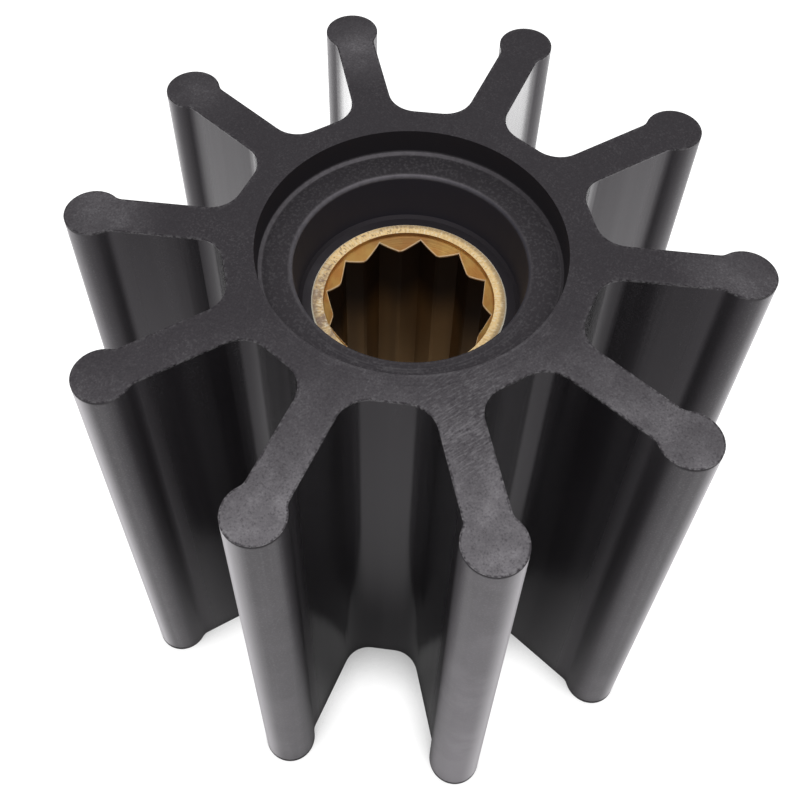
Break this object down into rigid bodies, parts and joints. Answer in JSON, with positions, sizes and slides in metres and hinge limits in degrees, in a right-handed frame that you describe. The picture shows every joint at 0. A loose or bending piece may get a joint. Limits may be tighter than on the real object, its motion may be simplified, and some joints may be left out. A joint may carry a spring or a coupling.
{
  "type": "rubber pump impeller",
  "caption": "Flexible rubber pump rotor with straight bulb-tipped blades, stepped end recesses and a splined brass insert for the drive shaft.",
  "frame": {"origin": "on the axis, in the plane of the lower end face", "axes": "+Z along the shaft axis, out of the upper end face; a blade and a spline tooth point along +X"},
  "size_m": [0.065, 0.062, 0.055],
  "materials": {
    "rubber": "black moulded rubber, glossy sides, matt ends",
    "brass": "machined brass, a little tarnished"
  },
  "bodies": {
    "root": {"rubber_body": "rubber", "splined_insert": "brass"}
  },
  "joints": []
}
